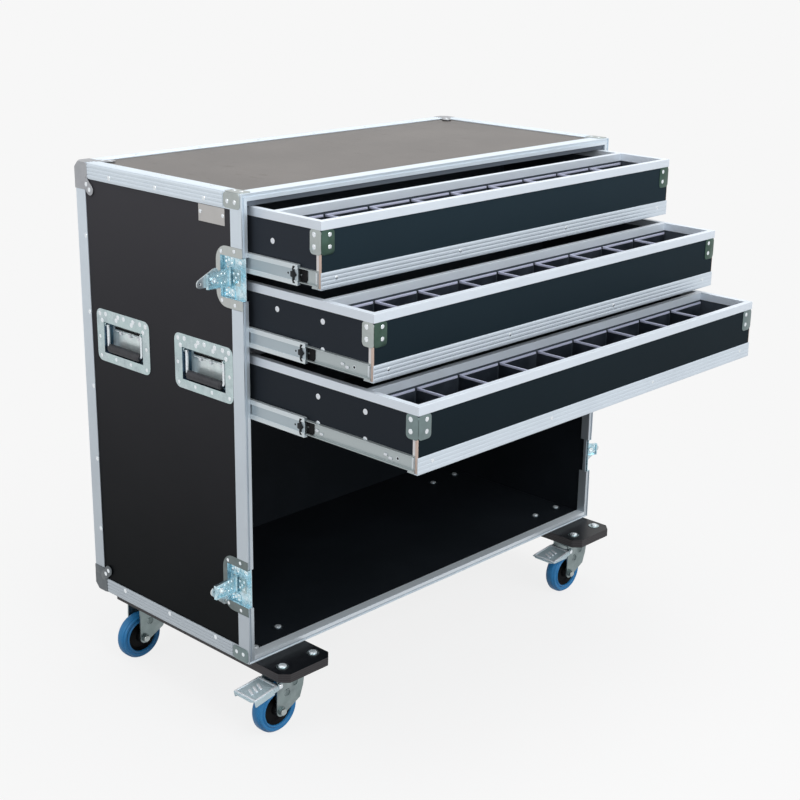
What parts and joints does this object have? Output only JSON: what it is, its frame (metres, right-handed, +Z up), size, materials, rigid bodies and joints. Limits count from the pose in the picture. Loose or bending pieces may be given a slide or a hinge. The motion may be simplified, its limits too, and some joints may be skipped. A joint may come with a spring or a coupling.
{
  "type": "flight case",
  "caption": "Rolling flight case with open-front drawers on telescopic slides over a storage bay, spring handles, butterfly latches and braked swivel castors.",
  "frame": {"origin": "on the floor under the middle of the whole object, with the drawers open as in the picture", "axes": "+Z up; the open front and the drawers face -Y; +X to the right seen from the front"},
  "size_m": [1.2019, 0.898, 1.0498],
  "materials": {
    "black_laminate": "plywood faced with a black textured laminate",
    "brushed_aluminium": "satin extruded profile",
    "zinc_plated_steel": "zinc plated pressed steel",
    "slide_steel": "bright zinc plated strip",
    "divider_sheet": "mill finished sheet",
    "painted_birch_board": "birch plywood painted black",
    "black_rubber": "ribbed black rubber grip",
    "blue_tyre": "blue elastic tyre on a black hub"
  },
  "bodies": {
    "case": {"back_panel": "black_laminate", "bottom_panel": "black_laminate", "edge_frame": "brushed_aluminium", "left_castor_board": "painted_birch_board", "left_front_castor_top_plate": "zinc_plated_steel", "left_front_handle_dish": "zinc_plated_steel", "left_lower_latch_dish": "zinc_plated_steel", "left_panel": "black_laminate", "left_rear_castor_top_plate": "zinc_plated_steel", "left_rear_handle_dish": "zinc_plated_steel", "left_upper_latch_dish": "zinc_plated_steel", "right_castor_board": "painted_birch_board", "right_front_castor_top_plate": "zinc_plated_steel", "right_front_handle_dish": "zinc_plated_steel", "right_lower_latch_dish": "zinc_plated_steel", "right_panel": "black_laminate", "right_rear_castor_top_plate": "zinc_plated_steel", "right_rear_handle_dish": "zinc_plated_steel", "right_upper_latch_dish": "zinc_plated_steel", "top_panel": "black_laminate"},
    "drawer_1": {"drawer_1_box": "black_laminate", "drawer_1_dividers": "divider_sheet", "drawer_1_rim": "brushed_aluminium", "drawer_1_runner_frame": "brushed_aluminium"},
    "slide_1": {"slide_1_left": "slide_steel", "slide_1_right": "slide_steel"},
    "drawer_2": {"drawer_2_box": "black_laminate", "drawer_2_dividers": "divider_sheet", "drawer_2_rim": "brushed_aluminium", "drawer_2_runner_frame": "brushed_aluminium"},
    "slide_2": {"slide_2_left": "slide_steel", "slide_2_right": "slide_steel"},
    "drawer_3": {"drawer_3_box": "black_laminate", "drawer_3_dividers": "divider_sheet", "drawer_3_rim": "brushed_aluminium", "drawer_3_runner_frame": "brushed_aluminium"},
    "slide_3": {"slide_3_left": "slide_steel", "slide_3_right": "slide_steel"},
    "left_upper_latch_arm": {"left_upper_latch_arm": "zinc_plated_steel"},
    "left_upper_latch_wing": {"left_upper_latch_wing": "zinc_plated_steel"},
    "left_lower_latch_arm": {"left_lower_latch_arm": "zinc_plated_steel"},
    "left_lower_latch_wing": {"left_lower_latch_wing": "zinc_plated_steel"},
    "right_upper_latch_arm": {"right_upper_latch_arm": "zinc_plated_steel"},
    "right_upper_latch_wing": {"right_upper_latch_wing": "zinc_plated_steel"},
    "right_lower_latch_arm": {"right_lower_latch_arm": "zinc_plated_steel"},
    "right_lower_latch_wing": {"right_lower_latch_wing": "zinc_plated_steel"},
    "left_front_handle_bail": {"left_front_handle_bail": "black_rubber"},
    "left_rear_handle_bail": {"left_rear_handle_bail": "black_rubber"},
    "right_front_handle_bail": {"right_front_handle_bail": "black_rubber"},
    "right_rear_handle_bail": {"right_rear_handle_bail": "black_rubber"},
    "left_front_castor_fork": {"left_front_castor_fork": "zinc_plated_steel"},
    "left_front_castor_wheel": {"left_front_castor_wheel": "blue_tyre"},
    "left_front_castor_brake_pedal": {"left_front_castor_brake_pedal": "zinc_plated_steel"},
    "left_rear_castor_fork": {"left_rear_castor_fork": "zinc_plated_steel"},
    "left_rear_castor_wheel": {"left_rear_castor_wheel": "blue_tyre"},
    "right_front_castor_fork": {"right_front_castor_fork": "zinc_plated_steel"},
    "right_front_castor_wheel": {"right_front_castor_wheel": "blue_tyre"},
    "right_front_castor_brake_pedal": {"right_front_castor_brake_pedal": "zinc_plated_steel"},
    "right_rear_castor_fork": {"right_rear_castor_fork": "zinc_plated_steel"},
    "right_rear_castor_wheel": {"right_rear_castor_wheel": "blue_tyre"}
  },
  "joints": [
    {"name": "drawer_1_slide", "type": "slide", "parent": "case", "child": "drawer_1", "axis": [0, -1, 0], "range_m": [-0.185, 0.255]},
    {"name": "drawer_2_slide", "type": "slide", "parent": "case", "child": "drawer_2", "axis": [0, -1, 0], "range_m": [-0.31, 0.13]},
    {"name": "drawer_3_slide", "type": "slide", "parent": "case", "child": "drawer_3", "axis": [0, -1, 0], "range_m": [-0.413, 0.027]},
    {"name": "slide_1_run", "type": "slide", "parent": "case", "child": "slide_1", "axis": [0, -1, 0], "range_m": [-0.136, 0.1871]},
    {"name": "slide_2_run", "type": "slide", "parent": "case", "child": "slide_2", "axis": [0, -1, 0], "range_m": [-0.154, 0.0652]},
    {"name": "slide_3_run", "type": "slide", "parent": "case", "child": "slide_3", "axis": [0, -1, 0], "range_m": [-0.151, 0.0108]},
    {"name": "left_upper_latch_swing", "type": "hinge", "parent": "case", "child": "left_upper_latch_arm", "pos_m": [-0.526, -0.0042, 0.8966], "axis": [0, 0, 1], "range_deg": [-15.5, 84.5]},
    {"name": "left_upper_latch_turn", "type": "hinge", "parent": "left_upper_latch_arm", "child": "left_upper_latch_wing", "pos_m": [-0.56613, -0.00475, 0.8966], "axis": [-0.0958, 0.9954, 0], "range_deg": [-120, 60]},
    {"name": "left_lower_latch_swing", "type": "hinge", "parent": "case", "child": "left_lower_latch_arm", "pos_m": [-0.526, -0.0042, 0.3036], "axis": [0, 0, 1], "range_deg": [-15.5, 84.5]},
    {"name": "left_lower_latch_turn", "type": "hinge", "parent": "left_lower_latch_arm", "child": "left_lower_latch_wing", "pos_m": [-0.56613, -0.00475, 0.3036], "axis": [-0.0958, 0.9954, 0], "range_deg": [-5, 175]},
    {"name": "right_upper_latch_swing", "type": "hinge", "parent": "case", "child": "right_upper_latch_arm", "pos_m": [0.526, -0.0042, 0.8966], "axis": [0, 0, -1], "range_deg": [-35, 65]},
    {"name": "right_upper_latch_turn", "type": "hinge", "parent": "right_upper_latch_arm", "child": "right_upper_latch_wing", "pos_m": [0.56365, -0.01811, 0.8966], "axis": [-0.4226, -0.9063, 0], "range_deg": [-120, 60]},
    {"name": "right_lower_latch_swing", "type": "hinge", "parent": "case", "child": "right_lower_latch_arm", "pos_m": [0.526, -0.0042, 0.3036], "axis": [0, 0, -1], "range_deg": [-35, 65]},
    {"name": "right_lower_latch_turn", "type": "hinge", "parent": "right_lower_latch_arm", "child": "right_lower_latch_wing", "pos_m": [0.56365, -0.01811, 0.3036], "axis": [-0.4226, -0.9063, 0], "range_deg": [-5, 175]},
    {"name": "left_front_handle_lift", "type": "hinge", "parent": "case", "child": "left_front_handle_bail", "pos_m": [-0.527, 0.0704, 0.7361], "axis": [0, 1, 0], "range_deg": [0, 90], "stiffness_Nm_per_rad": 0.35, "springref_deg": -20.05},
    {"name": "left_rear_handle_lift", "type": "hinge", "parent": "case", "child": "left_rear_handle_bail", "pos_m": [-0.527, 0.3158, 0.7361], "axis": [0, 1, 0], "range_deg": [0, 90], "stiffness_Nm_per_rad": 0.35, "springref_deg": -20.05},
    {"name": "right_front_handle_lift", "type": "hinge", "parent": "case", "child": "right_front_handle_bail", "pos_m": [0.527, 0.0704, 0.7361], "axis": [0, -1, 0], "range_deg": [0, 90], "stiffness_Nm_per_rad": 0.35, "springref_deg": -20.05},
    {"name": "right_rear_handle_lift", "type": "hinge", "parent": "case", "child": "right_rear_handle_bail", "pos_m": [0.527, 0.3158, 0.7361], "axis": [0, -1, 0], "range_deg": [0, 90], "stiffness_Nm_per_rad": 0.35, "springref_deg": -20.05},
    {"name": "left_front_castor_swivel", "type": "hinge", "parent": "case", "child": "left_front_castor_fork", "pos_m": [-0.452, -0.0642, 0.1177], "axis": [0, 0, 1], "continuous": true},
    {"name": "left_front_castor_roll", "type": "hinge", "parent": "left_front_castor_fork", "child": "left_front_castor_wheel", "pos_m": [-0.488, -0.0642, 0.05], "axis": [0, 1, 0], "continuous": true},
    {"name": "left_front_castor_brake", "type": "hinge", "parent": "left_front_castor_fork", "child": "left_front_castor_brake_pedal", "pos_m": [-0.493, -0.0642, 0.106], "axis": [0, -1, 0], "range_deg": [0, 14]},
    {"name": "left_rear_castor_swivel", "type": "hinge", "parent": "case", "child": "left_rear_castor_fork", "pos_m": [-0.452, 0.3658, 0.1177], "axis": [0, 0, 1], "continuous": true},
    {"name": "left_rear_castor_roll", "type": "hinge", "parent": "left_rear_castor_fork", "child": "left_rear_castor_wheel", "pos_m": [-0.488, 0.3658, 0.05], "axis": [0, 1, 0], "continuous": true},
    {"name": "right_front_castor_swivel", "type": "hinge", "parent": "case", "child": "right_front_castor_fork", "pos_m": [0.452, -0.0642, 0.1177], "axis": [0, 0, 1], "continuous": true},
    {"name": "right_front_castor_roll", "type": "hinge", "parent": "right_front_castor_fork", "child": "right_front_castor_wheel", "pos_m": [0.416, -0.0642, 0.05], "axis": [0, 1, 0], "continuous": true},
    {"name": "right_front_castor_brake", "type": "hinge", "parent": "right_front_castor_fork", "child": "right_front_castor_brake_pedal", "pos_m": [0.411, -0.0642, 0.106], "axis": [0, -1, 0], "range_deg": [0, 14]},
    {"name": "right_rear_castor_swivel", "type": "hinge", "parent": "case", "child": "right_rear_castor_fork", "pos_m": [0.452, 0.3658, 0.1177], "axis": [0, 0, 1], "continuous": true},
    {"name": "right_rear_castor_roll", "type": "hinge", "parent": "right_rear_castor_fork", "child": "right_rear_castor_wheel", "pos_m": [0.416, 0.3658, 0.05], "axis": [0, 1, 0], "continuous": true}
  ],
  "couplings": [
    {"joint": "slide_1_run", "follows": "drawer_1_slide", "ratio": 0.7297},
    {"joint": "slide_2_run", "follows": "drawer_2_slide", "ratio": 0.4935},
    {"joint": "slide_3_run", "follows": "drawer_3_slide", "ratio": 0.3632}
  ]
}
